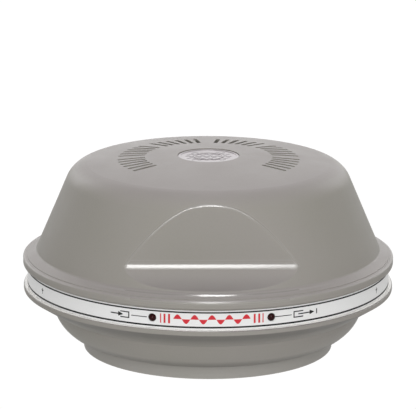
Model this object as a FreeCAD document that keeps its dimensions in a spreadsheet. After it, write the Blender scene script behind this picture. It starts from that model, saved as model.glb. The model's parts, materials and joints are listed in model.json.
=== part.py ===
import FreeCAD, Part
import math
import os
import Sketcher
from FreeCAD import Placement, Rotation, Vector

# Domed table-top mains voltage stabiliser with its transformer, control board, rear panel,
# cord and plug. Millimetres, +Z up, front of the case towards -Y, origin on the floor under
# the centre of the foot ring. The plug lies on the floor behind the case.

doc = FreeCAD.newDocument("dome_stabiliser")

# -------------------------------------------------------- driving dimensions
DIMS = dict(
    # base shell
    foot_rad=84.3, foot_rad_top=84.1, foot_rim=3.0, foot_high=9.8,
    floor_under=2.0, floor_top=4.5, step_rad=89.8,
    bowl_rad=104.6, bowl_top=28.1, bowl_arc=25.3,
    lower_lip_rad=124.7, lower_lip_low=41.0, lower_lip_top=44.1,
    wall=2.5, seam_rad=121.7, seam_top=57.15,
    # top cover
    upper_lip_rad=125.0, upper_lip_low=58.7, upper_lip_top=63.0,
    seam_z=57.2, seam_lip_rad=122.1,
    cone_rad_low=116.0, cone_low=67.5, cone_rad_high=91.55,
    cone_high=124.7, crown_top=131.44, crown_arc=628.0,
    shoulder_fillet=17.5, cone_foot_fillet=1.6, lip_fillet=0.9,
    step_groove_rad=122.4, spigot_rad=118.9, spigot_low=54.4,
    # front finger scoop
    scoop_wall_low=95.4, scoop_wall_high=92.6, scoop_crease=79.2,
    scoop_floor_rad=27.5, scoop_exit_y=116.5, scoop_exit_z=68.05,
    scoop_fillet=6.5, scoop_edge=1.1,
    # rear panel
    panel_y=93.0, panel_low=76.0,
    # vents: radii of the slot ends, width, and spacing in degrees
    vent_in=42.5, vent_out=61.5, vent_wide=2.7, vent_pitch=6.45,
    vent_first=55.2, vent_group=42.5, vent_set=6,
    # cover screws
    screw_circle=105.0, boss_rad=4.5, boss_joint=51.0,
    cover_pilot=1.7, cover_clear=1.9, screw_seat=41.0, screw_well=3.9,
    cover_screw_rad=1.6, cover_screw_head=3.3,
    # printed band and lamps
    band_thick=0.38, band_low=44.25, band_top=57.05,
    lamp_angle=18.2, lamp_z=51.2, lamp_rad=2.5, lamp_hole=2.6, lamp_collar=2.9,
    # badge
    badge_rad=20.4, badge_pocket=20.75, badge_depth=0.9, badge_sink=0.5, badge_rim=1.6,
    # transformer
    core_wide=84.0, core_deep=42.0, core_high=70.0, core_leg=14.0,
    core_y=22.0, core_z=12.0, strap_thick=1.2, strap_wide=30.0,
    strap_foot=13.0, strap_hole_x=50.5,
    # control board
    board_wide=96.0, board_deep=46.0, board_thick=1.6, board_y=-46.0,
    board_z=14.0, board_hole_x=42.0, board_hole_y=17.5,
    relay_wide=19.0, relay_deep=15.5, relay_pitch=22.0, relay_x=-27.0,
    relay_y=-34.0, relay_base=2.0, relay_case=13.3,
    # output socket, round-pin three-pole pattern
    socket_wide=38.0, socket_low=81.0, socket_high=35.0, socket_plate=3.0,
    live_z=87.0, pole_half=9.525, earth_rise=22.2,
    live_bore=2.6, earth_bore=3.6, live_hole=2.85, earth_hole=3.85, contact_wall=0.8,
    # switch and fuse
    switch_x=-33.5, switch_z=89.0, fuse_x=35.0, fuse_z=88.0,
    # cord, plug and wires
    cord_rad=3.5, cord_z=20.0, cord_boss=8.5, cord_hole=5.2,
    live_pin=2.54, live_pin_long=14.9, earth_pin=3.53, earth_pin_long=20.6,
    wire_rad=1.0, thin_wire_rad=0.6,
)


class Size:
    """A number together with the sheet expression it comes from."""

    def __init__(self, value, text):
        self.value = float(value)
        self.text = text

    def __float__(self):
        return self.value

    @staticmethod
    def of(other):
        return other if isinstance(other, Size) else Size(other, "(%r)" % float(other))

    def __add__(self, other):
        other = Size.of(other)
        return Size(self.value + other.value, "(%s + %s)" % (self.text, other.text))

    def __sub__(self, other):
        other = Size.of(other)
        return Size(self.value - other.value, "(%s - %s)" % (self.text, other.text))

    def __rsub__(self, other):
        return Size.of(other) - self

    def __mul__(self, other):
        other = Size.of(other)
        return Size(self.value * other.value, "(%s * %s)" % (self.text, other.text))

    def __truediv__(self, other):
        other = Size.of(other)
        return Size(self.value / other.value, "(%s / %s)" % (self.text, other.text))

    def __neg__(self):
        return 0 - self


class Sizes:
    """Holds one Size for each alias of the sheet."""


dim = Sizes()
sheet = doc.addObject("Spreadsheet::Sheet", "Dims")
for row, (alias, value) in enumerate(DIMS.items(), start=1):
    sheet.set("A%d" % row, alias.replace("_", " "))
    sheet.set("B%d" % row, repr(value))
    sheet.setAlias("B%d" % row, alias)
    setattr(dim, alias, Size(value, "Dims." + alias))
doc.recompute()

# ----------------------------------------------------------- solid primitives
UP = Vector(0, 0, 1)
ALONG_X = Rotation(Vector(0, 1, 0), 90)      # turns local +Z to +X
ALONG_Y = Rotation(Vector(1, 0, 0), -90)     # turns local +Z to +Y
SIDES = (-1, 1)
THROUGH = 60                                 # length of a tool that passes right through


def bind(target, prop, size):
    setattr(target, prop, float(size))
    if isinstance(size, Size):
        target.setExpression(prop, size.text)


def put(target, x=0, y=0, z=0, turn=None):
    target.Placement = Placement(Vector(float(x), float(y), float(z)), turn or Rotation())
    for axis, size in zip("xyz", (x, y, z)):
        if isinstance(size, Size):
            target.setExpression(".Placement.Base." + axis, size.text)
    return target


def primitive(kind, name, sizes, *place):
    """Part primitive with its sizes bound; place is x, y, z and a rotation."""
    made = doc.addObject("Part::" + kind, name)
    for prop, size in sizes.items():
        bind(made, prop, size)
    return put(made, *place)


def box(name, wide, deep, high, *place):
    return primitive("Box", name, dict(Length=wide, Width=deep, Height=high), *place)


def mid_box(name, wide, deep, high, x, y, z):
    """Box centred on x and y, standing on z."""
    return box(name, wide, deep, high, x - wide / 2, y - deep / 2, z)


def rod(name, radius, length, *place):
    return primitive("Cylinder", name, dict(Radius=radius, Height=length), *place)


def cone(name, start_rad, end_rad, length, *place):
    sizes = dict(Radius1=start_rad, Radius2=end_rad, Height=length)
    return primitive("Cone", name, sizes, *place)


def torus(name, ring_rad, tube_rad, *place):
    return primitive("Torus", name, dict(Radius1=ring_rad, Radius2=tube_rad), *place)


# ------------------------------------------------------ booleans and rounding
def join(name, items):
    if len(items) == 1:
        return items[0]
    made = doc.addObject("Part::MultiFuse", name)
    made.Shapes = items
    made.Refine = True
    return made


def group(name, items):
    made = doc.addObject("Part::Compound", name)
    made.Links = items
    return made


def cut(name, base, tools):
    made = doc.addObject("Part::Cut", name)
    made.Base = base
    made.Tool = join(name + "_tools", tools)
    made.Refine = True
    return made


def common(name, first, second):
    made = doc.addObject("Part::Common", name)
    made.Base = first
    made.Tool = second
    made.Refine = True
    return made


def picked(shape, pick):
    """Numbers of the edges that pick accepts."""
    found = [i for i, edge in enumerate(shape.Edges, start=1) if pick(edge)]
    if not found:
        raise RuntimeError("no edges to round")
    return found


def rounded(name, base, radius, pick):
    doc.recompute()
    made = doc.addObject("Part::Fillet", name)
    made.Base = base
    made.Edges = [(i, float(radius), float(radius)) for i in picked(base.Shape, pick)]
    return made


# ------------------------------------------------------------- edge selectors
def curve_kind(edge):
    # a pole of a turned face is an edge without a curve, and asking for one raises
    try:
        return edge.Curve.TypeId
    except TypeError:
        return ""


def is_line(edge):
    return curve_kind(edge) == "Part::GeomLine"


def is_circle(edge):
    return curve_kind(edge) == "Part::GeomCircle"


def middle(edge):
    return edge.valueAt((edge.FirstParameter + edge.LastParameter) / 2)


def along(axis):
    """Straight edges parallel to axis."""
    def pick(edge):
        if len(edge.Vertexes) != 2 or not is_line(edge):
            return False
        run = (edge.Vertexes[1].Point - edge.Vertexes[0].Point).normalize()
        return abs(abs(run.dot(axis)) - 1) < 1e-6
    return pick


def rims(radius, *heights):
    """Circles of this radius about the Z axis at any of the heights."""
    def pick(edge):
        if not is_circle(edge):
            return False
        centre = edge.Curve.Center
        return (abs(edge.Curve.Radius - float(radius)) < 0.02 and abs(centre.x) < 0.01
                and any(abs(centre.z - float(z)) < 0.02 for z in heights))
    return pick


def crease(y, z):
    """Straight edge whose middle is at this y and z."""
    def pick(edge):
        if not is_line(edge):
            return False
        centre = middle(edge)
        return abs(centre.y - float(y)) < 0.05 and abs(centre.z - float(z)) < 0.05
    return pick


def scoop_rim(edge):
    """Curved edges where the scoop breaks out of the front of the cover."""
    bounds = edge.BoundBox
    if bounds.YMax > -60 or bounds.XLength < 1e-3:
        return False
    if is_circle(edge) and abs(edge.Curve.Axis.z) > 0.99:
        return False
    return middle(edge).z > 68.2 and not is_line(edge)


def panel_rim(edge):
    """Curved edges where the rear panel meets the cover."""
    bounds = edge.BoundBox
    if bounds.YMin < 60 or bounds.XLength < 1e-3:
        return False
    return middle(edge).z > float(dim.panel_low) - 0.5 and not is_line(edge)


# -------------------------------------------------------------- sketch bodies
def sketch_on(body, role, name):
    sketch = body.newObject("Sketcher::SketchObject", name)
    plane = next(part for part in body.Origin.OriginFeatures if part.Role == role)
    sketch.AttachmentSupport = [(plane, "")]
    sketch.MapMode = "FlatFace"
    return sketch


def constrain(sketch, size, *terms):
    """Dimension constraint, bound to the sheet when its size comes from there."""
    index = sketch.addConstraint(Sketcher.Constraint(*terms, float(size)))
    if isinstance(size, Size):
        sketch.setExpression("Constraints[%d]" % index, size.text)


def place_vertex(sketch, edge, end, x, y):
    for kind, size, axis in (("DistanceX", x, -2), ("DistanceY", y, -1)):
        if abs(float(size)) < 1e-9:
            sketch.addConstraint(Sketcher.Constraint("PointOnObject", edge, end, axis))
        else:
            constrain(sketch, size, kind, -1, 1, edge, end)


def arc_between(first, last, radius, side):
    chord = last - first
    half = chord.Length / 2.0
    left = Vector(-chord.y, chord.x, 0).normalize()
    reach = math.sqrt(radius * radius - half * half)
    centre = (first + last) * 0.5 + left * (side * reach)
    start, end = (first, last) if side > 0 else (last, first)
    return Part.ArcOfCircle(Part.Circle(centre, UP, radius),
                            math.atan2(start.y - centre.y, start.x - centre.x),
                            math.atan2(end.y - centre.y, end.x - centre.x))


def outline(sketch, points):
    """Closed outline. Each point is (x, y) or (x, y, radius, side): with a
    radius, the edge that leaves it is an arc whose centre is on its left
    (side 1) or right (side -1)."""
    edges = []                               # (geometry, start vertex, end vertex)
    for i, point in enumerate(points):
        following = points[(i + 1) % len(points)]
        first = Vector(float(point[0]), float(point[1]), 0)
        last = Vector(float(following[0]), float(following[1]), 0)
        if len(point) == 2:
            edges.append((sketch.addGeometry(Part.LineSegment(first, last), False), 1, 2))
            continue
        arc = arc_between(first, last, float(point[2]), point[3])
        ends = (1, 2) if point[3] > 0 else (2, 1)
        edges.append((sketch.addGeometry(arc, False),) + ends)
    for i, point in enumerate(points):
        before, here = edges[i - 1], edges[i]
        sketch.addConstraint(Sketcher.Constraint(
            "Coincident", before[0], before[2], here[0], here[1]))
        place_vertex(sketch, here[0], here[1], point[0], point[1])
    for edge, point in zip(edges, points):
        if len(point) == 4:
            constrain(sketch, point[2], "Radius", edge[0])


def turned(name, points):
    """Body turned about Z from a half section in the XZ plane."""
    body = doc.addObject("PartDesign::Body", name)
    sketch = sketch_on(body, "XZ_Plane", name + "_section")
    outline(sketch, points)
    turn = body.newObject("PartDesign::Revolution", name + "_turn")
    turn.Profile = sketch
    turn.ReferenceAxis = (sketch, ["V_Axis"])
    turn.Angle = 360.0
    sketch.Visibility = False
    body.Tip = turn
    doc.recompute()
    return body


def pushed(name, role, points, length):
    """Body padded both ways from an outline on one of its origin planes."""
    body = doc.addObject("PartDesign::Body", name)
    sketch = sketch_on(body, role, name + "_outline")
    outline(sketch, points)
    pad = body.newObject("PartDesign::Pad", name + "_pad")
    pad.Profile = sketch
    bind(pad, "Length", length)
    pad.Midplane = True
    body.Tip = pad
    doc.recompute()
    return body


def pocket(body, name, points):
    """Pocket through the whole width, from an outline in the YZ plane."""
    before = body.Shape.Volume
    sketch = sketch_on(body, "YZ_Plane", name + "_outline")
    outline(sketch, points)
    feature = body.newObject("PartDesign::Pocket", name)
    feature.Profile = sketch
    feature.Length = 240
    feature.Midplane = True
    body.Tip = feature
    doc.recompute()
    if body.Shape.Volume > before - 1.0:
        raise RuntimeError(name + " removed nothing")


def body_fillet(body, name, radius, pick):
    base = body.Tip
    names = ["Edge%d" % i for i in picked(base.Shape, pick)]
    fillet = body.newObject("PartDesign::Fillet", name)
    fillet.Base = (base, names)
    bind(fillet, "Radius", radius)
    body.Tip = fillet
    doc.recompute()
    if "Invalid" in fillet.State or fillet.Shape.isNull():
        raise RuntimeError(name + " failed")


# ------------------------------------------------------------- pieces, places
PIECES = []


def add_piece(label, made):
    made.Label = label
    PIECES.append(made)


def piece(build):
    """Decorator: builds the piece at once and labels it with the function's name."""
    add_piece(build.__name__, build())


def polar(radius, angle):
    """Point at a plan angle measured from the front (-Y) towards +X."""
    turn = math.radians(angle)
    return radius * math.sin(turn), -radius * math.cos(turn)


# the screws stand at the sides and rear; the seam overlap holds the front
SCREW_SPOTS = [polar(dim.screw_circle, angle) for angle in (100, 135, 225, 260)]
LAMP_RAYS = [polar(1.0, float(dim.lamp_angle) * side) for side in SIDES]
LEAD_RISES = (-1.27, 1.27)                   # the two leads below and above a lamp's axis
BADGE_FLOOR = dim.crown_top - 0.34 - dim.badge_sink - dim.badge_depth
HOUSE_WIDE = dim.socket_wide - 4             # socket housing behind its face plate
HOUSE_HIGH = dim.socket_high - 4
HOUSE_LOW = dim.socket_low + 2


def screw_rods(name, radius, length, z):
    """The same upright cylinder at each cover screw."""
    return [rod("%s%d" % (name, i), radius, length, x, y, z)
            for i, (x, y) in enumerate(SCREW_SPOTS)]


def lamp_rod(name, i, radius, length, reach, rise=0):
    """Cylinder pointing outwards on the axis of lamp i, starting at radius reach."""
    x, y = LAMP_RAYS[i]
    return rod("%s%d" % (name, i), radius, length, reach * x, reach * y,
               dim.lamp_z + rise, Rotation(UP, Vector(x, y, 0)))


def board_corners(side):
    """The two fixing holes of the board on one side."""
    return [(dim.board_hole_x * side, dim.board_y + dim.board_hole_y * end) for end in SIDES]


def cross_slots(name, arm, width, depth, x, y, z):
    return [mid_box(name + "_slot_a", arm, width, depth, x, y, z),
            mid_box(name + "_slot_b", width, arm, depth, x, y, z)]


def pan_screw(name, radius, length, head_rad, head_high, x, y, seat, arm):
    """Cross-head screw pointing down, its head seated on z = seat."""
    gap = 0.05
    blank = join(name + "_blank", [
        rod(name + "_shank", radius, length, x, y, seat - length + gap),
        rod(name + "_head", head_rad, head_high, x, y, seat + gap)])
    return cut(name, blank, cross_slots(name, arm, 0.7, 2, x, y, seat + head_high - 0.8))


def slotted_screw(name, radius, arm, slot_rise, x, y, z):
    """Short upright cylinder with one straight slot across its top."""
    head = rod(name + "_head", radius, 2.2, x, y, z)
    return cut(name, head, [mid_box(name + "_slot", arm, 0.6, 2, x, y, z + slot_rise)])


# ------------------------------------------------------------------ base shell
def base_bowl():
    foot_in = dim.foot_rad - dim.foot_rim
    ring_in = foot_in + 0.2
    ledge = dim.foot_high + 2.3              # upper side of the step over the foot ring
    wall_in = dim.seam_rad - dim.wall
    body = turned("base_turned", [
        (0, dim.floor_under), (foot_in, dim.floor_under), (foot_in, 0),
        (dim.foot_rad, 0), (dim.foot_rad_top, dim.foot_high),
        (dim.step_rad, dim.foot_high, dim.bowl_arc, 1),
        (dim.bowl_rad, dim.bowl_top),
        (dim.lower_lip_rad, dim.lower_lip_low), (dim.lower_lip_rad, dim.lower_lip_top),
        (dim.seam_rad, dim.lower_lip_top), (dim.seam_rad, dim.seam_top),
        (wall_in, dim.seam_top), (wall_in, dim.lower_lip_low - 0.56),
        (dim.bowl_rad - 1.35, dim.bowl_top + 2.1),
        (dim.bowl_rad - 2.45, dim.bowl_top + 0.5, dim.bowl_arc - 2.5, -1),
        (dim.step_rad - 1.0, ledge), (ring_in, ledge),
        (ring_in, dim.floor_top), (0, dim.floor_top)])
    body_fillet(body, "base_lip_round", dim.lip_fillet,
                rims(dim.lower_lip_rad, dim.lower_lip_low, dim.lower_lip_top))
    return body


def base_envelope():
    """Solid outer form that trims the posts and sleeves."""
    return turned("base_envelope", [
        (0, 0), (dim.foot_rad, 0), (dim.foot_rad_top, dim.foot_high),
        (dim.step_rad, dim.foot_high, dim.bowl_arc, 1),
        (dim.bowl_rad, dim.bowl_top), (dim.lower_lip_rad, dim.lower_lip_low),
        (dim.lower_lip_rad, dim.seam_top), (0, dim.seam_top)])


def floor_mounts():
    """Posts and ribs on the floor, and the pilot holes down the posts."""
    root = 3                                 # all start inside the floor plate
    rib_x, rib_wide = 34.0, 3
    mounts, pilots = [], []
    for i, side in enumerate(SIDES):
        strap = (dim.strap_hole_x * side, dim.core_y)
        mounts.append(rod("strap_post%d" % i, 5.0, dim.core_z - root, *strap, root))
        pilots.append(rod("strap_pilot%d" % i, 2.05, 10, *strap, 3.6))
        mounts.append(mid_box("core_rib%d" % i, rib_wide, dim.core_deep, dim.core_z - root,
                              rib_x * side, dim.core_y, root))
        for j, corner in enumerate(board_corners(side)):
            mounts.append(rod("board_post%d%d" % (i, j), 3.5, dim.board_z - root, *corner, root))
            pilots.append(rod("board_pilot%d%d" % (i, j), 1.35, 12, *corner, 4.0))
    return mounts, pilots


@piece
def base_shell():
    post_low, well_low = 15, 10
    bowl = base_bowl()
    envelope = base_envelope()
    posts = common("cover_posts", join("cover_post_set", screw_rods(
        "cover_post", dim.boss_rad, dim.boss_joint - post_low, post_low)), envelope)
    sleeves = common("well_sleeves", join("well_sleeve_set", screw_rods(
        "well_sleeve", dim.screw_well + 1.8, dim.screw_seat - 13, post_low)), envelope)
    wells = screw_rods("cover_well", dim.screw_well, dim.screw_seat - well_low, well_low)
    holes = screw_rods("cover_hole", dim.cover_clear, 30, 30)
    screw_cuts = [tool for pair in zip(wells, holes) for tool in pair]
    mounts, pilots = floor_mounts()
    cord_boss = rod("cord_boss", dim.cord_boss, 28.5, 0, 76, dim.cord_z, ALONG_Y)
    lamp_holes = [lamp_rod("lamp_hole", i, dim.lamp_hole, 20, 110) for i in range(2)]
    # centre pad level with the foot ring, under the floor
    pad = rod("centre_pad", 15, dim.floor_under + 1)
    built = join("base_built", [bowl, pad, posts, sleeves, cord_boss] + mounts)
    cord_bore = rod("cord_bore", dim.cord_hole, 40, 0, 70, dim.cord_z, ALONG_Y)
    return cut("base_shell_cut", built, screw_cuts + pilots + lamp_holes + [cord_bore])


# ------------------------------------------------------------------- top cover
POCKET_TOP = 140.0                           # above the crown
PANEL_REACH = dim.panel_y + 30               # behind the cover


def cover_outer():
    """Solid outer form of the cover with the front scoop and the flat rear panel."""
    body = turned("cover_turned", [
        (0, dim.spigot_low), (dim.spigot_rad, dim.spigot_low), (dim.spigot_rad, dim.seam_z),
        (dim.seam_lip_rad, dim.seam_z), (dim.upper_lip_rad, dim.upper_lip_low),
        (dim.upper_lip_rad, dim.upper_lip_top),
        (dim.step_groove_rad, dim.upper_lip_top + 1.25),
        (dim.step_groove_rad, dim.upper_lip_top + 1.6),
        (dim.cone_rad_low, dim.cone_low), (dim.cone_rad_high, dim.cone_high, dim.crown_arc, 1),
        (0, dim.crown_top)])
    body_fillet(body, "shoulder_round", dim.shoulder_fillet,
                rims(dim.cone_rad_high, dim.cone_high))
    body_fillet(body, "cone_foot_round", dim.cone_foot_fillet,
                rims(dim.cone_rad_low, dim.cone_low))
    body_fillet(body, "lip_round", dim.lip_fillet,
                rims(dim.upper_lip_rad, dim.upper_lip_low, dim.upper_lip_top))
    pocket(body, "front_scoop", [
        (-dim.scoop_wall_low, dim.scoop_crease), (-dim.scoop_wall_high, POCKET_TOP),
        (-dim.scoop_exit_y, POCKET_TOP),
        (-dim.scoop_exit_y, dim.scoop_exit_z, dim.scoop_floor_rad, 1)])
    pocket(body, "rear_panel", [
        (dim.panel_y, dim.panel_low), (PANEL_REACH, dim.panel_low),
        (PANEL_REACH, POCKET_TOP), (dim.panel_y, POCKET_TOP)])
    body_fillet(body, "scoop_crease_round", dim.scoop_fillet,
                crease(-dim.scoop_wall_low, dim.scoop_crease))
    body_fillet(body, "panel_crease_round", 2.0, crease(dim.panel_y, dim.panel_low))
    body_fillet(body, "scoop_rim_round", dim.scoop_edge, scoop_rim)
    body_fillet(body, "panel_rim_round", 0.8, panel_rim)
    return body


def cover_hollow():
    """Inside of the cover, held a wall's thickness off the scoop and the panel."""
    wall = dim.wall
    spigot_in = dim.spigot_rad - wall
    hollow_low = dim.spigot_low - 5
    body = turned("cover_hollow", [
        (0, hollow_low), (spigot_in, hollow_low), (spigot_in, dim.upper_lip_top + 1.2),
        (dim.cone_rad_low - 2.3, dim.cone_low - 1.0),
        (dim.cone_rad_high + 2.5, dim.cone_high - 12.2, dim.shoulder_fillet - wall, 1),
        (dim.cone_rad_high - 12.05, dim.cone_high - 0.81, dim.crown_arc - wall, 1),
        (0, dim.crown_top - wall)])
    exit_in = dim.scoop_exit_z - wall
    beyond = -dim.scoop_exit_y - 3
    pocket(body, "scoop_backing", [
        (-dim.scoop_wall_low + wall, dim.scoop_crease - 1.4),
        (-dim.scoop_wall_high + wall, POCKET_TOP),
        (beyond, POCKET_TOP), (beyond, exit_in),
        (-dim.scoop_exit_y, exit_in, dim.scoop_floor_rad + wall, 1)])
    pocket(body, "panel_backing", [
        (dim.panel_y - wall, dim.panel_low - wall), (PANEL_REACH, dim.panel_low - wall),
        (PANEL_REACH, POCKET_TOP), (dim.panel_y - wall, POCKET_TOP)])
    return body


def vent_slot():
    """One upright round-ended cutter drawn along +X."""
    sketch = doc.addObject("Sketcher::SketchObject", "vent_slot_outline")
    end_rad = dim.vent_wide / 2
    near, far = dim.vent_in + end_rad, dim.vent_out - end_rad    # centres of the round ends
    half, near_x, far_x = float(end_rad), float(near), float(far)
    quarter = math.pi / 2
    shapes = (
        Part.LineSegment(Vector(near_x, -half, 0), Vector(far_x, -half, 0)),
        Part.ArcOfCircle(Part.Circle(Vector(far_x, 0, 0), UP, half), -quarter, quarter),
        Part.LineSegment(Vector(far_x, half, 0), Vector(near_x, half, 0)),
        Part.ArcOfCircle(Part.Circle(Vector(near_x, 0, 0), UP, half), quarter, 3 * quarter))
    edges = [sketch.addGeometry(shape, False) for shape in shapes]
    for i, edge in enumerate(edges):
        sketch.addConstraint(Sketcher.Constraint("Tangent", edge, 2, edges[(i + 1) % 4], 1))
    far_arc, near_arc = edges[1], edges[3]
    for arc in (far_arc, near_arc):
        sketch.addConstraint(Sketcher.Constraint("PointOnObject", arc, 3, -1))
    constrain(sketch, end_rad, "Radius", far_arc)
    constrain(sketch, near, "DistanceX", -1, 1, near_arc, 3)
    constrain(sketch, far, "DistanceX", -1, 1, far_arc, 3)
    cutter = doc.addObject("Part::Extrusion", "vent_slot_cutter")
    cutter.Base = sketch
    cutter.DirMode = "Custom"
    cutter.Dir = UP
    cutter.LengthFwd = 40
    cutter.Solid = True
    put(cutter, z=112)
    doc.recompute()
    return cutter


def vent_cutters():
    """Three banks of radial slots on each side of the crown, linked to one cutter."""
    cutter = vent_slot()
    first, step, bank_step = (float(q) for q in (dim.vent_first, dim.vent_pitch, dim.vent_group))
    slots = []
    for side in SIDES:
        for bank in range(3):
            for k in range(DIMS["vent_set"]):
                angle = side * (first + bank * bank_step + k * step)
                slot = doc.addObject("App::Link", "vent_slot_%d" % len(slots))
                slot.setLink(cutter)
                slot.LinkTransform = True
                # the angle counts from -Y, the slot is drawn along +X
                slot.Placement = Placement(Vector(), Rotation(UP, angle - 90))
                slots.append(slot)
    return group("vent_cutters", slots)


def panel_openings():
    gap = 0.15                               # clearance round the socket housing
    return [
        mid_box("socket_opening", HOUSE_WIDE + 2 * gap, 12, HOUSE_HIGH + 2 * gap,
                0, dim.panel_y, HOUSE_LOW - gap),
        mid_box("switch_opening", 13.2, 12, 19.2, dim.switch_x, dim.panel_y, dim.switch_z - 9.6),
        rod("fuse_opening", 6.1, 12, dim.fuse_x, dim.panel_y - 6, dim.fuse_z, ALONG_Y)]


@piece
def top_cover():
    outer = cover_outer()
    hollow = cover_hollow()
    bosses = common("cover_bosses", join("cover_boss_set", screw_rods(
        "cover_boss", dim.boss_rad, 50, dim.boss_joint + 0.1)), outer)
    vents = vent_cutters()
    bossed = join("cover_bossed", [cut("cover_shell", outer, [hollow]), bosses])
    badge_pocket = rod("badge_pocket", dim.badge_pocket, 10, 0, 0, BADGE_FLOOR)
    pilots = screw_rods("cover_pilot", dim.cover_pilot, 20, dim.boss_joint - 1)
    return cut("top_cover_cut", bossed, [vents, badge_pocket] + panel_openings() + pilots)


# ------------------------------------------------------- badge, band and lamps
@piece
def top_badge():
    """Dished disc with a raised ring, lying in the pocket of the crown."""
    low = BADGE_FLOOR + 0.05
    disc = rod("badge_disc", dim.badge_rad, dim.badge_depth - 0.1, 0, 0, low)
    dish = rod("badge_dish", dim.badge_rad - dim.badge_rim, 2, 0, 0, low + dim.badge_depth - 0.45)
    ring = cut("badge_ring",
               rod("badge_ring_out", 10.2, 0.3, 0, 0, low + dim.badge_depth - 0.46),
               [rod("badge_ring_in", 9.0, 2, 0, 0, low)])
    return join("top_badge_fuse", [cut("badge_plate", disc, [dish]), ring])


@piece
def label_band():
    inside = dim.seam_rad + 0.02
    outer = rod("band_out", inside + dim.band_thick, dim.band_top - dim.band_low,
                0, 0, dim.band_low)
    hollow = rod("band_in", inside, 20, 0, 0, dim.band_low - 4)
    holes = [lamp_rod("band_hole", i, dim.lamp_hole + 0.1, 20, 112) for i in range(2)]
    return cut("label_band_cut", outer, [hollow] + holes)


@piece
def indicator_lamps():
    stem_reach, stem_long = 118.2, 3.3
    tip_reach = stem_reach + stem_long
    lamps = []
    for i, (x, y) in enumerate(LAMP_RAYS):
        lamps.append(join("lamp%d" % i, [
            lamp_rod("lamp_stem", i, dim.lamp_rad, stem_long, stem_reach),
            primitive("Sphere", "lamp_tip%d" % i, dict(Radius=dim.lamp_rad),
                      tip_reach * x, tip_reach * y, dim.lamp_z),
            lamp_rod("lamp_collar", i, dim.lamp_collar, 1.0, 118.1)]))
    return group("lamp_set", lamps)


@piece
def lamp_holders():
    """Blocks behind the lamps, bored for the collar and, narrower, right through."""
    reach, thick, wide, high = 115.9, 3.1, 8.0, 6.4
    holders = []
    for i, (x, y) in enumerate(LAMP_RAYS):
        turn = Rotation(UP, math.degrees(math.atan2(y, x)))
        corner = turn.multVec(Vector(0, -wide / 2, 0))
        block = box("lamp_holder_block%d" % i, thick, wide, high,
                    reach * x + corner.x, reach * y + corner.y, dim.lamp_z - 3.4, turn)
        holders.append(cut("lamp_holder%d" % i, block, [
            lamp_rod("lamp_holder_bore", i, dim.lamp_collar + 0.08, 2.2, 117.9),
            lamp_rod("lamp_holder_bore_b", i, 2.2, 6, 114)]))
    return group("holder_set", holders)


@piece
def lamp_leads():
    return group("lead_set", [
        lamp_rod("lamp_lead%d" % j, i, 0.3, 7.95, 110.1, rise)
        for i in range(2) for j, rise in enumerate(LEAD_RISES)])


@piece
def cover_screws():
    """Screws driven upwards, their heads in the wells of the base."""
    seat = dim.screw_seat
    shanks = screw_rods("cover_screw_shank", dim.cover_screw_rad, 22, seat - 0.05)
    heads = screw_rods("cover_screw_head", dim.cover_screw_head, 2.4, seat - 2.45)
    screws = []
    for i, (x, y) in enumerate(SCREW_SPOTS):
        name = "cover_screw%d" % i
        blank = join(name + "_blank", [shanks[i], heads[i]])
        screws.append(cut(name, blank, cross_slots(name, 4.0, 0.9, 1.2, x, y, seat - 2.6)))
    return group("cover_screw_set", screws)


# ----------------------------------------------------------------- transformer
LEG = dim.core_leg
BOBBIN_HOLE_X = LEG + 0.3                    # half sizes of the bobbin's hole and tube
BOBBIN_HOLE_Y = dim.core_deep / 2 + 0.3
TUBE_X = BOBBIN_HOLE_X + 1.2
TUBE_Y = BOBBIN_HOLE_Y + 1.2
BOBBIN_LOW = dim.core_z + LEG + 0.2
BOBBIN_HIGH = LEG * 3 - 0.4


def core_box(name, wide, deep, high, z, x=0):
    """Box centred on the transformer in y."""
    return mid_box(name, wide, deep, high, x, dim.core_y, z)


@piece
def transformer_core():
    block = core_box("core_block", dim.core_wide, dim.core_deep, dim.core_high, dim.core_z)
    return cut("core_cut", block, [
        core_box("core_window%d" % i, LEG, THROUGH, LEG * 3, dim.core_z + LEG, LEG * 1.5 * side)
        for i, side in enumerate(SIDES)])


@piece
def transformer_bobbin():
    flange = 1.2
    flange_x, flange_y = LEG * 2 - 0.5, BOBBIN_HOLE_Y + 12.4      # half sizes
    top = BOBBIN_LOW + BOBBIN_HIGH - flange
    blank = join("bobbin_blank", [
        core_box("bobbin_tube", TUBE_X * 2, TUBE_Y * 2, BOBBIN_HIGH, BOBBIN_LOW),
        core_box("bobbin_low", flange_x * 2, flange_y * 2, flange, BOBBIN_LOW),
        core_box("bobbin_high", flange_x * 2, flange_y * 2, flange, top)])
    return cut("bobbin_cut", blank, [core_box(
        "bobbin_hole", BOBBIN_HOLE_X * 2, BOBBIN_HOLE_Y * 2, THROUGH, BOBBIN_LOW - 5)])


def winding(name, gap, thick, round_rad):
    """Rectangular coil standing off the bobbin tube by gap."""
    end_gap = 1.4
    in_x, in_y = TUBE_X + gap, TUBE_Y + gap
    outer = rounded(name + "_round", core_box(
        name + "_out", (in_x + thick) * 2, (in_y + thick) * 2,
        BOBBIN_HIGH - 2 * end_gap, BOBBIN_LOW + end_gap), round_rad, along(UP))
    inner = core_box(name + "_in", in_x * 2, in_y * 2, THROUGH, BOBBIN_LOW)
    if round_rad - thick >= 0.3:             # a thick coil's inner corners stay sharp
        inner = rounded(name + "_inround", inner, round_rad - thick, along(UP))
    return cut(name + "_cut", outer, [inner])


add_piece("primary_winding", winding("primary", gap=0.1, thick=5.2, round_rad=4.5))
add_piece("secondary_winding", winding("secondary", gap=5.45, thick=4.6, round_rad=8.5))
add_piece("winding_tape", winding("tape", gap=10.1, thick=0.5, round_rad=9.1))


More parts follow.
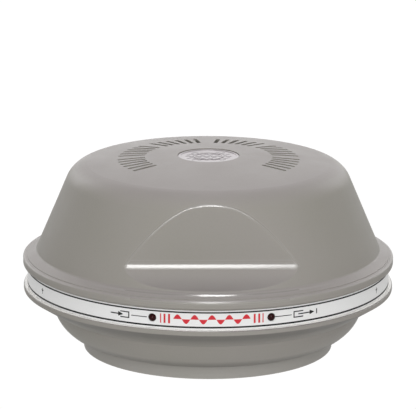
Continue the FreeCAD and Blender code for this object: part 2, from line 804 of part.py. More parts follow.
@piece
def transformer_strap():
    """Strap over the core with a drilled foot on each side."""
    thick, wide = dim.strap_thick, dim.strap_wide
    half = dim.core_wide / 2 + 0.15          # half the span between the strap's sides
    parts = [core_box("strap_top", half * 2 + thick * 2, wide, thick,
                      dim.core_z + dim.core_high + 0.1)]
    for i, side in enumerate(SIDES):
        parts.append(core_box("strap_side%d" % i, thick, wide, dim.core_high + 0.2,
                              dim.core_z, (half + thick / 2) * side))
        parts.append(core_box("strap_foot%d" % i, dim.strap_foot, wide, thick,
                              dim.core_z, (half + dim.strap_foot / 2) * side))
    return cut("strap_cut", join("strap_blank", parts), [
        rod("strap_hole%d" % i, 2.3, 20, dim.strap_hole_x * side, dim.core_y, dim.core_z - 5)
        for i, side in enumerate(SIDES)])


@piece
def strap_screws():
    return group("strap_screw_set", [
        pan_screw("strap_screw%d" % i, radius=2.0, length=9.0, head_rad=3.8, head_high=2.8,
                  x=dim.strap_hole_x * side, y=dim.core_y, seat=dim.core_z + dim.strap_thick,
                  arm=4.6)
        for i, side in enumerate(SIDES)])


# --------------------------------------------------------------- control board
BOARD_TOP = dim.board_z + dim.board_thick
ON_BOARD = BOARD_TOP + 0.05                  # parts stand just clear of the board
BOARD_HOLES = [("%d%d" % (i, j), x, y) for i, side in enumerate(SIDES)
               for j, (x, y) in enumerate(board_corners(side))]


@piece
def control_board():
    block = mid_box("board_block", dim.board_wide, dim.board_deep, dim.board_thick,
                    0, dim.board_y, dim.board_z + 0.02)
    return cut("board_cut", block, [rod("board_hole" + tag, 1.6, 10, x, y, dim.board_z - 4)
                                    for tag, x, y in BOARD_HOLES])


@piece
def board_screws():
    return group("board_screw_set", [
        pan_screw("board_screw" + tag, radius=1.3, length=10.0, head_rad=2.7, head_high=1.9,
                  x=x, y=y, seat=BOARD_TOP + 0.02, arm=3.0)
        for tag, x, y in BOARD_HOLES])


RELAYS = [(k, dim.relay_x + dim.relay_pitch * k) for k in range(3)]   # number, centre x
RELAY_FLOOR = ON_BOARD + dim.relay_base


def relay_box(name, k, wide, deep, high, x, rise):
    """Box centred on the relays' row, its underside at rise above the relay base."""
    return mid_box("%s%d" % (name, k), wide, deep, high, x, dim.relay_y, RELAY_FLOOR + rise)


def relay_rod(name, k, radius, length, x, rise):
    """Upright cylinder on the axis of a relay's coil."""
    return rod("%s%d" % (name, k), radius, length, x + 1, dim.relay_y, RELAY_FLOOR + rise)


@piece
def relay_bases():
    return group("relay_base_set", [
        mid_box("relay_base%d" % k, dim.relay_wide, dim.relay_deep, dim.relay_base,
                x, dim.relay_y, ON_BOARD) for k, x in RELAYS])


@piece
def relay_coils():
    return group("relay_coil_set", [
        cut("relay_coil%d" % k, relay_rod("relay_coil_out", k, 4.6, 7.6, x, 1.15),
            [relay_rod("relay_coil_in", k, 1.65, 20, x, 0)]) for k, x in RELAYS])


@piece
def relay_yokes():
    """L-shaped frame, arm on the +X side, with the pole inside the coil."""
    return group("relay_yoke_set", [
        join("relay_yoke%d" % k, [
            relay_box("relay_yoke_foot", k, 13, 9, 1, x + 2, 0.05),
            relay_box("relay_yoke_arm", k, 1, 9, 10, x + 8, 0.05),
            relay_rod("relay_pole", k, 1.6, 9.0, x, 0.6)]) for k, x in RELAYS])


for k, x in RELAYS:
    add_piece("relay_armature_%d" % (k + 1), join("relay_armature_%d_fuse" % (k + 1), [
        relay_box("relay_arm_plate", k, 13, 7.5, 0.9, x + 2.2, 10.25),
        relay_box("relay_arm_blade", k, 4.5, 3.0, 0.4, x - 6.2, 10.5)]))


def case_top_edge(edge):
    heights = [vertex.Point.z for vertex in edge.Vertexes]
    return (len(heights) == 2 and min(heights) > float(RELAY_FLOOR) + 5
            and abs(heights[0] - heights[1]) < 1e-6)


@piece
def relay_cases():
    wall = 0.8
    wide, deep, high = dim.relay_wide, dim.relay_deep, dim.relay_case
    cases = []
    for k, x in RELAYS:
        outer = rounded("relay_case_round%d" % k, relay_box(
            "relay_case_out", k, wide, deep, high, x, 0.05), 0.8, case_top_edge)
        cases.append(cut("relay_case%d" % k, outer, [relay_box(
            "relay_case_in", k, wide - 2 * wall, deep - 2 * wall, high - wall, x, 0)]))
    return group("relay_case_set", cases)


@piece
def filter_capacitors():
    return group("capacitor_set", [
        rounded("capacitor_round%d" % i, rod("capacitor%d" % i, 5.0, 17, 33, y, ON_BOARD), 0.7,
                lambda edge: is_circle(edge) and edge.Curve.Center.z > 25)
        for i, y in enumerate((-39.5, -52.0))])


PART_ROW_Y = -49.5                           # the chip and the trimmers share this line
TRIMMERS = tuple(enumerate((-32.0, -20.0)))


@piece
def controller_chip():
    return mid_box("chip_block", 19.5, 6.4, 3.4, 3, PART_ROW_Y, BOARD_TOP + 0.4)


@piece
def trimmer_bodies():
    return group("trimmer_set", [
        cut("trimmer_body%d" % i,
            mid_box("trimmer_block%d" % i, 7.0, 7.0, 4.8, x, PART_ROW_Y, ON_BOARD),
            [rod("trimmer_well%d" % i, 1.95, 6, x, PART_ROW_Y, BOARD_TOP + 3.2)])
        for i, x in TRIMMERS])


for i, x in TRIMMERS:
    add_piece("trimmer_screw_%d" % (i + 1), slotted_screw(
        "trimmer_screw_cut%d" % i, radius=1.9, arm=3.0, slot_rise=1.4,
        x=x, y=PART_ROW_Y, z=BOARD_TOP + 3.3))


@piece
def rectifier_diodes():
    return group("diode_set", [
        rod("diode%d" % i, 1.35, 5.2, 20.5, -46.0 - 3.4 * i, BOARD_TOP + 1.6, ALONG_X)
        for i in range(4)])


@piece
def board_resistors():
    """One resistor by the chip and a row of five at the board's -X edge."""
    spots = [(6.0, -13.4, -45.2)]            # length, start x, y
    spots += [(6.2, -46.5, -40.5 - 3.4 * i) for i in range(5)]
    return group("resistor_set", [
        rod("resistor%d" % i, 1.15, length, x, y, BOARD_TOP + 1.4, ALONG_X)
        for i, (length, x, y) in enumerate(spots)])


TERMINAL_XS = [-22.0 + 8.0 * i for i in range(6)]
TERMINAL_Y = -62.6


@piece
def terminal_block():
    """Block with a screw well and a front mouth for each wire."""
    mouth_wide = 4.4
    blank = mid_box("terminal_blank", 48, 9, 10, -2, TERMINAL_Y, ON_BOARD)
    wells = []
    for i, x in enumerate(TERMINAL_XS):
        wells.append(rod("terminal_well%d" % i, 2.1, 6, x, TERMINAL_Y, BOARD_TOP + 5.5))
        wells.append(box("terminal_mouth%d" % i, mouth_wide, 2.4, 4.2,
                         x - mouth_wide / 2, -67.5, BOARD_TOP + 1.2))
    return cut("terminal_cut", blank, wells)


@piece
def terminal_screws():
    return group("terminal_screw_set", [
        slotted_screw("terminal_screw%d" % i, radius=1.95, arm=4, slot_rise=1.55,
                      x=x, y=TERMINAL_Y, z=BOARD_TOP + 5.55)
        for i, x in enumerate(TERMINAL_XS)])


# ------------------------------------------------------- rear panel: the socket
# x, z, bore of the contact, radius of the hole in the face
POLES = (
    (-dim.pole_half, dim.live_z, dim.live_bore, dim.live_hole),
    (dim.pole_half, dim.live_z, dim.live_bore, dim.live_hole),
    (0, dim.live_z + dim.earth_rise, dim.earth_bore, dim.earth_hole),
)


def panel_rod(name, radius, length, x, offset, z):
    """Cylinder along Y, starting at offset from the panel's face."""
    return rod(name, radius, length, x, dim.panel_y + offset, z, ALONG_Y)


@piece
def output_socket():
    plate = mid_box("socket_plate_block", dim.socket_wide, dim.socket_plate, dim.socket_high,
                    0, dim.panel_y + dim.socket_plate / 2 + 0.02, dim.socket_low)
    plate = rounded("socket_plate_round", plate, 4.0, along(Vector(0, 1, 0)))
    face_y = float(dim.panel_y + dim.socket_plate)
    plate = rounded("socket_plate_edge", plate, 0.6,
                    lambda edge: edge.BoundBox.YMin > face_y - 0.1)
    house = mid_box("socket_house", HOUSE_WIDE, 20.2, HOUSE_HIGH, 0, dim.panel_y - 9.9, HOUSE_LOW)
    bores = []
    for i, (x, z, bore, hole) in enumerate(POLES):
        bores.append(panel_rod("socket_mouth%d" % i, hole, 40, x, -22, z))
        bores.append(panel_rod("socket_bore%d" % i, bore + dim.contact_wall + 0.05, 17,
                               x, -21, z))
    return cut("socket_cut", join("socket_blank", [plate, house]), bores)


@piece
def socket_contacts():
    return group("contact_set", [
        cut("contact%d" % i,
            panel_rod("contact_out%d" % i, bore + dim.contact_wall, 15.5, x, -19.8, z),
            [panel_rod("contact_in%d" % i, bore, 40, x, -25, z)])
        for i, (x, z, bore, _) in enumerate(POLES)])


# ------------------------------------------------------- rear panel: the switch
PIVOT_Y = dim.panel_y - 0.5
ROCKER_TILT = 9                              # degrees about +X


def switch_box(name, wide, deep, high, offset):
    """Box centred on the switch in x and z, and at offset from the panel's face."""
    return mid_box(name, wide, deep, high, dim.switch_x, dim.panel_y + offset,
                   dim.switch_z - high / 2)


@piece
def switch_body():
    bezel = rounded("switch_bezel_round", switch_box("switch_bezel", 15, 2, 21, 1.02),
                    1.0, along(Vector(0, 1, 0)))
    blank = join("switch_blank", [bezel, switch_box("switch_house", 13, 17, 19, -8.4)])
    return cut("switch_cut", blank, [
        switch_box("switch_window", 10.2, 14, 17.2, -4.5),
        rod("switch_pivot_hole", 1.25, 12.4, dim.switch_x - 6.2, PIVOT_Y, dim.switch_z, ALONG_X)])


@piece
def switch_rocker():
    """Rocker with its trunnion, built about x = 0, then tilted and moved across."""
    panel, mid = dim.panel_y, dim.switch_z
    paddle = pushed("rocker_blank", "YZ_Plane", [
        (panel - 4.5, mid - 3.5), (panel - 1.6, mid - 7.9), (panel + 2.0, mid - 7.9),
        (panel + 1.4, mid), (panel + 2.0, mid + 7.9), (panel - 1.6, mid + 7.9),
        (panel - 4.5, mid + 3.5)], 9.6)
    paddle = rounded("rocker_round", paddle, 0.5, lambda edge: (
        edge.BoundBox.YMin > 94.0 and edge.BoundBox.XLength < 0.01))
    trunnion = rod("rocker_trunnion", 1.2, 12.0, -6.0, PIVOT_Y, mid, ALONG_X)
    whole = join("rocker_joined", [paddle, trunnion])
    doc.recompute()
    rocker = group("rocker_tilted", [whole])
    pivot = Vector(0, float(PIVOT_Y), float(mid))
    tilt = Rotation(Vector(1, 0, 0), ROCKER_TILT)
    across = Vector(float(dim.switch_x), 0, 0)
    rocker.Placement = Placement(pivot - tilt.multVec(pivot) + across, tilt)
    return rocker


@piece
def switch_terminals():
    return group("switch_terminal_set", [
        mid_box("switch_terminal%d" % i, 6.3, 8, 0.8,
                dim.switch_x, dim.panel_y - 20.95, dim.switch_z + rise)
        for i, rise in enumerate((-5.4, 4.6))])


# --------------------------------------------------------- rear panel: the fuse
def fuse_rod(name, radius, length, offset):
    """Cylinder on the fuse's axis, starting at offset from the panel's face."""
    return panel_rod(name, radius, length, dim.fuse_x, offset, dim.fuse_z)


@piece
def fuse_holder():
    blank = join("fuse_blank", [fuse_rod("fuse_flange", 7.6, 2.0, 0.02),
                                fuse_rod("fuse_barrel", 5.9, 33, -32.9)])
    return cut("fuse_cut", blank, [fuse_rod("fuse_bore", 3.6, THROUGH, -30.5)])


@piece
def fuse_nut():
    blank = primitive("Prism", "fuse_nut_hex", dict(Circumradius=8.4, Height=3.5),
                      dim.fuse_x, dim.panel_y - 6.1, dim.fuse_z, ALONG_Y)
    blank.Polygon = 6
    return cut("fuse_nut_cut", blank, [fuse_rod("fuse_nut_bore", 5.98, 20, -15)])


@piece
def fuse_cap():
    """Knob with a slot across its outer face and grooves round its side."""
    grooves, groove_circle = 12, 7.0
    slot_wide, slot_long = 1.2, 10
    knob = rounded("fuse_knob_round", fuse_rod("fuse_knob", 6.6, 7.0, 2.12), 0.9,
                   lambda edge: is_circle(edge) and edge.Curve.Center.y > 100)
    stem = fuse_rod("fuse_stem", 3.5, 6.0, -3.5)
    tools = [box("fuse_slot", slot_wide, 3, slot_long, dim.fuse_x - slot_wide / 2,
                 dim.panel_y + 8.0, dim.fuse_z - slot_long / 2)]
    for i in range(grooves):
        angle = 2 * math.pi * i / grooves
        tools.append(panel_rod("fuse_grip%d" % i, 0.7, 6.0,
                               dim.fuse_x + groove_circle * math.cos(angle), 4.2,
                               dim.fuse_z + groove_circle * math.sin(angle)))
    return cut("fuse_cap_cut", join("fuse_cap_blank", [knob, stem]), tools)


@piece
def fuse_glass():
    return cut("fuse_glass_cut", fuse_rod("fuse_glass_out", 2.4, 9.6, -18.8),
               [fuse_rod("fuse_glass_in", 1.9, 20, -24)])


@piece
def fuse_end_caps():
    # offsets of each cap and of its hollow from the panel's face
    caps = ((-23.4, -22.6), (-9.2, -9.4))
    return group("fuse_end_set", [
        cut("fuse_end%d" % i, fuse_rod("fuse_end_out%d" % i, 2.6, 5.0, cap),
            [fuse_rod("fuse_end_in%d" % i, 2.44, 4.4, hollow)])
        for i, (cap, hollow) in enumerate(caps)])


# ------------------------------------------------------------- grommet and cord
CORD_BORE = dim.cord_rad + 0.06
PLUG_Y, PLUG_Z = 179.0, 17.5                 # axis of the cord where it enters the plug


def cord_place(y):
    return 0, y, dim.cord_z, ALONG_Y


@piece
def cord_grommet():
    """Grommet in the rear wall with a grooved, tapering tail."""
    blank = join("grommet_blank", [
        rod("grommet_flange", 7.2, 2.4, *cord_place(104.55)),
        rod("grommet_neck", 5.1, 29.8, *cord_place(75.2)),
        rod("grommet_lock", 6.6, 2.0, *cord_place(73.95)),
        cone("grommet_tail", 6.0, 4.7, 12, *cord_place(106.9))])
    grooves = [torus("grommet_ring%d" % i, 6.15 - 0.27 * i, 0.75, *cord_place(109.3 + 2.6 * i))
               for i in range(4)]
    bore = rod("grommet_bore", CORD_BORE, THROUGH, *cord_place(65))
    return cut("grommet_cut", blank, grooves + [bore])


def sweep(name, path, start, direction, radius):
    """Round section swept along a wire."""
    ring = Part.Wire([Part.Circle(start, direction, float(radius)).toShape()])
    made = doc.addObject("Part::Feature", name)
    made.Shape = path.makePipeShell([ring], True, True)
    return made


ON_FLOOR = float(dim.cord_rad) + 0.05        # height of the cord's axis where it lies down
# x, y, z of the cord's axis from the grommet's tail, down and round a loop, to the plug
CORD_LOOP = (
    (0, 121, 20.0), (1.5, 131, 16.8), (5, 139, 9.6), (11, 146, 4.6),
    (22, 153.5, ON_FLOOR), (40, 161, ON_FLOOR), (61, 159, ON_FLOOR), (73, 143, ON_FLOOR),
    (63, 128, ON_FLOOR), (47, 129, ON_FLOOR + 2.0), (37, 141, ON_FLOOR + 7.6),
    (28, 156, ON_FLOOR + 10.2), (13, 170, 15.6), (-6, 177.4, 17.2), (-28, PLUG_Y, PLUG_Z),
)


@piece
def mains_cord():
    points = [Vector(*point) for point in CORD_LOOP]
    inside = Vector(0, 67, float(dim.cord_z))
    in_plug = Vector(-49, PLUG_Y, PLUG_Z)
    backwards = Vector(0, 1, 0)
    curve = Part.BSplineCurve()
    curve.interpolate(Points=points, InitialTangent=backwards,
                      FinalTangent=Vector(-1, 0, 0), Scale=False)
    path = Part.Wire([Part.makeLine(inside, points[0]), curve.toShape(),
                      Part.makeLine(points[-1], in_plug)])
    return sweep("mains_cord_sweep", path, inside, backwards, dim.cord_rad)


# ------------------------------------------------------------------------- plug
# the plug lies on its side with its face towards -X
FACE_X = -84.0
LIVE_PIN_Z, EARTH_PIN_Z = 11.0, 33.2
PIN_HALF = float(dim.pole_half)
# y, z, radius and length of each pin
PINS = (
    (PLUG_Y - PIN_HALF, LIVE_PIN_Z, dim.live_pin, dim.live_pin_long),
    (PLUG_Y + PIN_HALF, LIVE_PIN_Z, dim.live_pin, dim.live_pin_long),
    (PLUG_Y, EARTH_PIN_Z, dim.earth_pin, dim.earth_pin_long),
)


def plug_moulding():
    """Body that narrows towards the cord, its upper side sloping down the same way."""
    shoulder_x, back_x = FACE_X + 14, FACE_X + 38
    face_half, back_half = 19, 9
    blank = pushed("plug_outline_body", "XY_Plane", [
        (FACE_X, PLUG_Y - face_half), (shoulder_x, PLUG_Y - face_half),
        (back_x, PLUG_Y - back_half), (back_x, PLUG_Y + back_half),
        (shoulder_x, PLUG_Y + face_half), (FACE_X, PLUG_Y + face_half)], 76)
    slab = box("plug_slab", 38, 44, 38.6, FACE_X, PLUG_Y - 22, 0.2)
    slope = box("plug_rise", 60, 60, 30, FACE_X + 12, PLUG_Y - 30, 39,
                Rotation(Vector(0, 1, 0), 24))
    nose = cut("plug_nose", common("plug_common", blank, slab), [slope])
    return rounded("plug_round", nose, 1.2, lambda edge: edge.BoundBox.XMax > FACE_X + 1.0)


@piece
def plug_pins():
    """Pins standing off the face on thinner roots that are moulded in."""
    step = 0.6                               # stand-off, and how much thinner the root is
    pins = []
    for i, (y, z, radius, length) in enumerate(PINS):
        blank = join("plug_pin_blank%d" % i, [
            rod("plug_pin_rod%d" % i, radius, length - step, FACE_X - length, y, z, ALONG_X),
            rod("plug_pin_root%d" % i, radius - step, 9.0, FACE_X - 1.0, y, z, ALONG_X)])
        pins.append(rounded("plug_pin%d" % i, blank, 1.0, lambda edge: (
            is_circle(edge) and edge.Curve.Center.x < FACE_X - 5)))
    return group("plug_pin_set", pins)


@piece
def plug_body():
    moulding = plug_moulding()
    holes = [rod("plug_pin_hole%d" % i, radius - 0.57, 8.1, FACE_X - 0.05, y, z, ALONG_X)
             for i, (y, z, radius, _) in enumerate(PINS)]
    axis = (PLUG_Y, PLUG_Z, ALONG_X)
    sleeve = cone("plug_sleeve_cone", 7.0, 4.8, 17, FACE_X + 36, *axis)
    grooves = [torus("plug_ring%d" % i, 6.95 - 0.36 * i, 0.8, FACE_X + 40.4 + 2.6 * i, *axis)
               for i in range(5)]
    bore = rod("plug_cord_hole", CORD_BORE, 26, FACE_X + 30, *axis)
    return cut("plug_body_cut", join("plug_joined", [moulding, sleeve]),
               holes + grooves + [bore])


# ----------------------------------------------------------------------- wiring
def wire_along(name, points, radius):
    """Round wire swept along a smooth curve through the points."""
    curve = Part.BSplineCurve()
    curve.interpolate([Vector(*point) for point in points])
    tangent = curve.tangent(curve.FirstParameter)[0]
    return sweep(name, Part.Wire([curve.toShape()]), Vector(*points[0]), tangent, radius)


# x, y, z from the end of the cord to the switch, the fuse and the transformer strap
SUPPLY_PATHS = dict(
    wire_live=((-3, 66.0, 21.2), (-14, 64, 22), (-36, 58, 28), (-58, 42, 42),
               (-60, 44, 62), (-50, 60, 76), (-33.5, 66, 83.0)),
    wire_neutral=((3, 66.0, 21.2), (14, 64, 22), (36, 58, 28), (58, 42, 42),
                  (60, 44, 62), (50, 51, 78), (35, 57.5, 88)),
    wire_earth=((0, 66.0, 17.5), (-2, 62.5, 14.6), (-24, 58, 11), (-46, 47, 12),
                (-51, 39, 14.8)),
)


@piece
def supply_wires():
    return group("supply_wire_set", [wire_along(name, points, dim.wire_rad)
                                     for name, points in SUPPLY_PATHS.items()])


@piece
def transformer_leads():
    """Four leads from the windings over the board to the first four terminals."""
    leads = []
    for i, end_x in enumerate(TERMINAL_XS[:4]):
        x = end_x + 6
        leads.append(wire_along("tap%d" % i, [
            (x, -13.6, 58 - 2 * i), (x, -17, 50), (x - 0.5, -20, 40),
            (x - 1, -46, 40 + 2 * (i % 2)),
            (end_x, -68, 30), (end_x, -69.8, 22), (end_x, -67.6, 18.6)], dim.wire_rad))
    return group("transformer_lead_set", leads)


@piece
def lamp_wires():
    """Two thin wires from the leads of each lamp to the front of the board."""
    wires = []
    for i, side in enumerate(SIDES):
        ray_x, ray_y = LAMP_RAYS[i]
        bend_x, bend_y = polar(90, 17 * side)
        for j, rise in enumerate(LEAD_RISES):
            shift = j * 3                    # keeps the pair apart
            end_x = side * 34 + shift
            wires.append(wire_along("lamp_wire%d%d" % (i, j), [
                (109.5 * ray_x, 109.5 * ray_y, float(dim.lamp_z) + rise),
                (103 * ray_x, 103 * ray_y, 50.5 + rise),
                (bend_x, bend_y, 40 + rise),
                (side * 30 + shift, -78, 26), (end_x, -71, 19), (end_x, -67.5, 16.9)],
                dim.thin_wire_rad))
    return group("lamp_wire_set", wires)


# -------------------------------------------------------------- check and write
doc.recompute()
problems = ["%s is in state %s" % (made.Name, made.State) for made in doc.Objects
            if "Invalid" in made.State or "Error" in made.State]
for made in PIECES:
    if made.Shape.isNull() or not made.Shape.isValid() or not made.Shape.Solids:
        problems.append("%s has no valid solid" % made.Label)
if problems:
    raise RuntimeError("; ".join(problems))

os.makedirs("parts", exist_ok=True)
for made in PIECES:
    shape = made.Shape
    if shape.ShapeType == "Compound" and len(shape.Solids) == 1:
        shape = shape.Solids[0]
    shape.exportStep(os.path.join("parts", made.Label + ".step"))
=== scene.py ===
"""Looks for a round plastic-cased appliance with a printed band round its middle.

Metres, +Z up. The case turns about the Z axis and stands near z = 0. Its front, with the
finger scoop and the wave mark, faces -Y; the rocker switch is on the +Y side.
"""
import json
import math

import bmesh
import bpy
from mathutils import Matrix, Vector
from mathutils.bvhtree import BVHTree


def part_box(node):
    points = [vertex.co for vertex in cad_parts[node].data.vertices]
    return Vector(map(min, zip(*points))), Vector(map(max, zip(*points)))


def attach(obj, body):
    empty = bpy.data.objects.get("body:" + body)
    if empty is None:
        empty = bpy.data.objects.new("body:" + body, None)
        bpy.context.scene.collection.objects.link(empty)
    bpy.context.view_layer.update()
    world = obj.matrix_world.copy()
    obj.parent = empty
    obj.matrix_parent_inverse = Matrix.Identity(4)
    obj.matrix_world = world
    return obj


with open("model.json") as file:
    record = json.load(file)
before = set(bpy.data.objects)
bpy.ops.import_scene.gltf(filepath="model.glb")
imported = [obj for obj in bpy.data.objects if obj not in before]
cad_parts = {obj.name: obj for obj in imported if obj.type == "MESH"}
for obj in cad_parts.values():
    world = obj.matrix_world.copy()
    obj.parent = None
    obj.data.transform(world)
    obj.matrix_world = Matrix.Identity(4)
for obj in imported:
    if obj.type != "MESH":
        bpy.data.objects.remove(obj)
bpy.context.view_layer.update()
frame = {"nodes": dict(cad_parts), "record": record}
nodes = frame["nodes"]
scene = bpy.context.scene
scene.view_settings.view_transform = "Standard"
scene.view_settings.look = "None"
scene.view_settings.exposure = 0.0
scene.view_settings.gamma = 1.0


# ------------------------------------------------------------ node building
WHITE = (1.0, 1.0, 1.0, 1.0)
BLACK = (0.0, 0.0, 0.0, 1.0)
MATS = {}


def srgb(*channels):
    """sRGB 0-255 to linear RGBA."""
    out = []
    for c in channels:
        c /= 255.0
        out.append(c / 12.92 if c <= 0.04045 else ((c + 0.055) / 1.055) ** 2.4)
    return (*out, 1.0)


def scaled(color, factor):
    return (*(min(1, c * factor) for c in color[:3]), 1.0)


class Graph:
    """A node tree with short calls for common nodes; any value may be a number or a socket."""

    def __init__(self, tree, coords):
        self.tree = tree
        self.coords = self.node("ShaderNodeTexCoord").outputs[coords]

    def feed(self, socket, value):
        if isinstance(value, bpy.types.NodeSocket):
            self.tree.links.new(value, socket)
        else:
            socket.default_value = value

    def node(self, kind, **inputs):
        """New node; an underscore in an input's name stands for a space."""
        made = self.tree.nodes.new(kind)
        for name, value in inputs.items():
            self.feed(made.inputs[name.replace("_", " ")], value)
        return made

    def split(self, vector):
        """The x, y and z sockets of a vector."""
        return self.node("ShaderNodeSeparateXYZ", Vector=vector).outputs

    def math(self, operation, a, b=0.0):
        made = self.node("ShaderNodeMath")
        made.operation = operation
        self.feed(made.inputs[0], a)
        self.feed(made.inputs[1], b)
        return made.outputs[0]

    def add(self, a, b):
        return self.math("ADD", a, b)

    def sub(self, a, b):
        return self.math("SUBTRACT", a, b)

    def mul(self, a, b):
        return self.math("MULTIPLY", a, b)

    def max(self, a, b):
        return self.math("MAXIMUM", a, b)

    def abs(self, a):
        return self.math("ABSOLUTE", a)

    def hypot(self, a, b):
        return self.math("SQRT", self.add(self.math("POWER", a, 2.0), self.math("POWER", b, 2.0)))

    def remap(self, value, to, span=(0.3, 0.7)):
        """Carry span onto to, clamped."""
        return self.node("ShaderNodeMapRange", From_Min=span[0], From_Max=span[1],
                         To_Min=to[0], To_Max=to[1], Value=value).outputs["Result"]

    def rise(self, value, start=0.3, end=0.7):
        """0 at start, 1 at end."""
        return self.remap(value, to=(0.0, 1.0), span=(start, end))

    def fall(self, value, start, end):
        """1 at start, 0 at end."""
        return self.remap(value, to=(1.0, 0.0), span=(start, end))

    def mix(self, factor, a, b):
        made = self.node("ShaderNodeMix")
        made.data_type = "RGBA"
        for index, value in ((0, factor), (6, a), (7, b)):
            self.feed(made.inputs[index], value)
        return made.outputs[2]

    def noise(self, scale, detail=3.0, rough=0.55, stretch=None):
        place = self.coords
        if stretch:
            place = self.node("ShaderNodeMapping", Vector=place, Scale=stretch).outputs["Vector"]
        return self.node("ShaderNodeTexNoise", Vector=place, Scale=scale, Detail=detail,
                         Roughness=rough).outputs["Fac"]


class Mat(Graph):
    """A surface material mat_<key>, kept in MATS under its key."""

    INPUTS = {"color": "Base Color", "rough": "Roughness", "metal": "Metallic", "ior": "IOR",
              "spec": "Specular IOR Level", "coat": "Coat Weight",
              "coat_rough": "Coat Roughness", "trans": "Transmission Weight",
              "sheen": "Sheen Weight"}

    def __init__(self, key):
        self.material = bpy.data.materials.new("mat_" + key)
        self.material.use_nodes = True
        super().__init__(self.material.node_tree, "Object")
        self.shader = self.tree.nodes["Principled BSDF"]
        MATS[key] = self.material

    def set(self, **values):
        for name, value in values.items():
            self.feed(self.shader.inputs[self.INPUTS[name]], value)

    def bevel(self, radius, samples):
        made = self.node("ShaderNodeBevel", Radius=radius)
        made.samples = samples
        return made.outputs["Normal"]

    def edge(self, radius):
        """Mask that is 1 on convex and concave edges."""
        dot = self.node("ShaderNodeVectorMath")
        dot.operation = "DOT_PRODUCT"
        self.feed(dot.inputs[0], self.bevel(radius, samples=6))
        self.feed(dot.inputs[1], self.node("ShaderNodeNewGeometry").outputs["Normal"])
        return self.fall(dot.outputs["Value"], 0.86, 0.995)

    def bump(self, layers, normal=None):
        """layers: (height socket, strength, distance in metres)."""
        for height, strength, distance in layers:
            made = self.node("ShaderNodeBump", Strength=strength, Distance=distance,
                             Height=height)
            if normal is not None:
                self.feed(made.inputs["Normal"], normal)
            normal = made.outputs["Normal"]
        self.feed(self.shader.inputs["Normal"], normal)


# ---------------------------------------------------------- shared finishes
def moulded(key, rgb, rough, grain=1800.0, grain_amount=0.10, spread=0.05, coat=0.0,
            painted_edge_highlight=0.10, bevel=0.00035):
    """Moulded plastic: faint flow mottling, fine grain, and edges lightened as a painted
    highlight.
    """
    mat = Mat(key)
    color = srgb(*rgb)
    big = mat.noise(scale=16.0, rough=0.5)
    fine = mat.noise(scale=420.0, detail=2.0, rough=0.6)
    body = mat.mix(mat.rise(big), scaled(color, 1.0 - spread), scaled(color, 1.0 + spread))
    body = mat.mix(mat.remap(fine, to=(0.0, 0.35)), body, scaled(color, 0.93))
    # painted highlight: the edges are lightened towards 1.5 times the colour
    edge = mat.edge(radius=0.0006)
    body = mat.mix(mat.mul(edge, painted_edge_highlight), body, scaled(color, 1.5))
    wear = mat.noise(scale=60.0, detail=4.0, rough=0.6, stretch=(1.0, 1.0, 3.0))
    wear = mat.remap(wear, to=(rough - 0.05, rough + 0.07))
    mat.set(color=body, rough=mat.add(wear, mat.remap(fine, to=(-0.015, 0.03))),
            coat=coat, coat_rough=0.12, spec=0.5)
    mat.bump([(mat.noise(scale=grain, detail=2.0, rough=0.5), grain_amount, 0.00006),
              (mat.noise(scale=70.0, detail=1.0, rough=0.4), 0.05, 0.0004)],
             mat.bevel(bevel, samples=6))


def metal(key, rgb, rough, brushed=(1.0, 1.0, 30.0), spread=0.08, scratch=0.15):
    """Metal with blotches and streaks; brushed squeezes the streaks along each axis."""
    mat = Mat(key)
    color = srgb(*rgb)
    streak = mat.noise(scale=260.0, detail=4.0, rough=0.6, stretch=brushed)
    blotch = mat.noise(scale=45.0, rough=0.6)
    body = mat.mix(mat.rise(blotch), scaled(color, 1.0 - spread), scaled(color, 1.0 + spread))
    # painted highlight: the edges are lightened towards 1.35 times the colour
    edge = mat.edge(radius=0.0004)
    body = mat.mix(mat.mul(edge, 0.25), body, scaled(color, 1.35))
    mat.set(color=body, metal=1.0,
            rough=mat.add(mat.remap(streak, to=(rough - 0.06, rough + 0.1)),
                          mat.remap(blotch, to=(-0.03, 0.05))))
    mat.bump([(streak, scratch, 0.00005)], mat.bevel(0.00025, samples=4))


# ------------------------------------------------------------ case material
CASE_LOW = srgb(147, 144, 137)
CASE_HIGH = srgb(150, 146, 141)
# painted shade: a slightly darker, pinker tone for up-facing faces, set against the stronger
# light from above
CASE_TOP_PAINTED_SHADE = srgb(146, 141, 139)
CASE_ROUGH = 0.42
SHELF_SHADE = 0.0        # painted shade on the shelf in the scoop (strength)
CONE_R, CONE_SLOPE = 0.14485, 0.42745        # upper cone: radius at z = 0, loss per metre up
WALL_Y, WALL_SLOPE = 0.09919, 0.04706        # scoop wall: distance to the front, loss per metre
CROWN_R, CROWN_Z, CROWN_ROUND = 0.07933, 0.10873, 0.0175     # arc rounding the cone's top
CROWN_START = 0.1156     # height where the arc takes over from the cone


